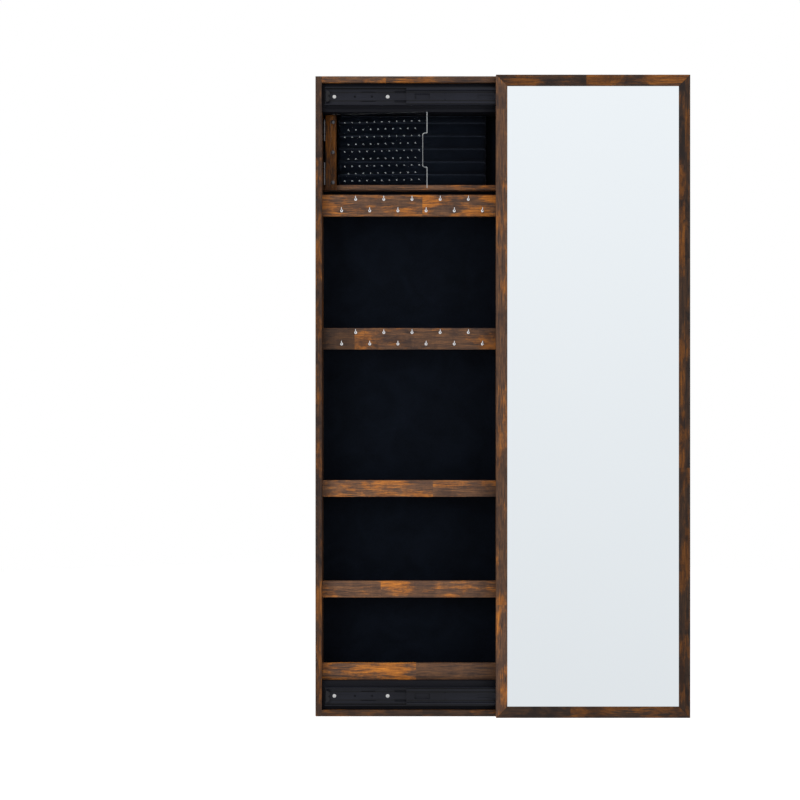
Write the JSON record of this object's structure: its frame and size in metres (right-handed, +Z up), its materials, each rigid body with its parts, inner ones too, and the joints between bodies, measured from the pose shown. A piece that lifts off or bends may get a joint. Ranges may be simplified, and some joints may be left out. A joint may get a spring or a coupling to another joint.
{
  "type": "jewelry mirror cabinet",
  "caption": "Wall-hung jewelry cabinet whose framed mirror slides sideways on ball-bearing slides, with hook rails, shelves, ring cushion and a hinged earring board.",
  "frame": {"origin": "on the wall plane, midway between the two keyholes of the rear hangers", "axes": "+X to the right as seen from the room, +Y into the wall, +Z up"},
  "size_m": [0.711, 0.107, 1.219],
  "materials": {
    "wood_dark": "dark wood-print foil, satin",
    "wood_trim": "rustic wood print, satin",
    "wood_frame": "rustic wood print, satin",
    "black_board": "black foil on board, satin",
    "velvet": "black velvet",
    "slide_steel": "black coated steel",
    "ball_steel": "polished",
    "screw_steel": "bright zinc",
    "bright_metal": "bright nickel",
    "dark_metal": "black nickel plate",
    "hanger_steel": "dark bronze plate",
    "rubber": "matte",
    "clear_sheet": "clear polished sheet",
    "mirror": "silvered glass",
    "backing": "fibreboard, dark face"
  },
  "bodies": {
    "cabinet": {"side_panel_left": "wood_dark", "side_panel_right": "wood_dark", "top_panel": "wood_dark", "bottom_panel": "wood_dark", "shelf_lower": "wood_dark", "shelf_middle": "wood_dark", "shelf_upper": "wood_dark", "lip_lower": "wood_trim", "lip_middle": "wood_trim", "lip_upper": "wood_trim", "hook_rail_lower": "wood_trim", "hook_rail_upper": "wood_trim", "ring_shelf": "wood_trim", "top_slide_batten": "black_board", "bottom_slide_batten": "black_board", "slide_bay_floor": "black_board", "back_panel": "backing", "back_lining": "velvet", "ring_cushion": "velvet", "top_slide_outer": "slide_steel", "bottom_slide_outer": "slide_steel", "hanger_screws": "screw_steel", "top_slide_screws": "screw_steel", "bottom_slide_screws": "screw_steel", "hooks_lower": "bright_metal", "hooks_upper": "bright_metal", "earring_hinge_wall_leaves": "dark_metal", "earring_hinge_pins": "dark_metal", "hanger_left": "hanger_steel", "hanger_right": "hanger_steel", "top_slide_bumper": "rubber", "bottom_slide_bumper": "rubber"},
    "mirror_door": {"frame_top_rail": "wood_frame", "frame_bottom_rail": "wood_frame", "frame_left_stile": "wood_frame", "frame_right_stile": "wood_frame", "mirror_glass": "mirror", "mirror_backing": "backing", "mirror_door_screws": "screw_steel", "top_slide_inner": "slide_steel", "bottom_slide_inner": "slide_steel"},
    "earring_board": {"earring_stile": "wood_trim", "earring_board": "clear_sheet", "earring_board_screws": "dark_metal", "earring_hinge_door_leaves": "dark_metal"},
    "top_middle": {"top_slide_middle": "slide_steel"},
    "top_outer_cage": {"top_slide_outer_cage": "slide_steel", "top_slide_outer_balls": "ball_steel"},
    "top_inner_cage": {"top_slide_inner_cage": "slide_steel", "top_slide_inner_balls": "ball_steel"},
    "bottom_middle": {"bottom_slide_middle": "slide_steel"},
    "bottom_outer_cage": {"bottom_slide_outer_cage": "slide_steel", "bottom_slide_outer_balls": "ball_steel"},
    "bottom_inner_cage": {"bottom_slide_inner_cage": "slide_steel", "bottom_slide_inner_balls": "ball_steel"}
  },
  "joints": [
    {"name": "mirror_slide", "type": "slide", "parent": "cabinet", "child": "mirror_door", "axis": [1, 0, 0], "range_m": [-0.343, 0]},
    {"name": "earring_swing", "type": "hinge", "parent": "cabinet", "child": "earring_board", "pos_m": [-0.169, -0.045, -0.018], "axis": [0, 0, -1], "range_deg": [-10, 0]},
    {"name": "top_middle_slide", "type": "slide", "parent": "cabinet", "child": "top_middle", "axis": [1, 0, 0], "range_m": [-0.145, 0]},
    {"name": "top_outer_cage_roll", "type": "slide", "parent": "cabinet", "child": "top_outer_cage", "axis": [1, 0, 0], "range_m": [-0.0725, 0]},
    {"name": "top_inner_cage_roll", "type": "slide", "parent": "cabinet", "child": "top_inner_cage", "axis": [1, 0, 0], "range_m": [-0.2441, 0]},
    {"name": "bottom_middle_slide", "type": "slide", "parent": "cabinet", "child": "bottom_middle", "axis": [1, 0, 0], "range_m": [-0.145, 0]},
    {"name": "bottom_outer_cage_roll", "type": "slide", "parent": "cabinet", "child": "bottom_outer_cage", "axis": [1, 0, 0], "range_m": [-0.0725, 0]},
    {"name": "bottom_inner_cage_roll", "type": "slide", "parent": "cabinet", "child": "bottom_inner_cage", "axis": [1, 0, 0], "range_m": [-0.2441, 0]}
  ],
  "couplings": [
    {"joint": "top_middle_slide", "follows": "mirror_slide", "ratio": 0.4227},
    {"joint": "top_outer_cage_roll", "follows": "mirror_slide", "ratio": 0.21135},
    {"joint": "top_inner_cage_roll", "follows": "mirror_slide", "ratio": 0.71135},
    {"joint": "bottom_middle_slide", "follows": "mirror_slide", "ratio": 0.4227},
    {"joint": "bottom_outer_cage_roll", "follows": "mirror_slide", "ratio": 0.21135},
    {"joint": "bottom_inner_cage_roll", "follows": "mirror_slide", "ratio": 0.71135}
  ]
}
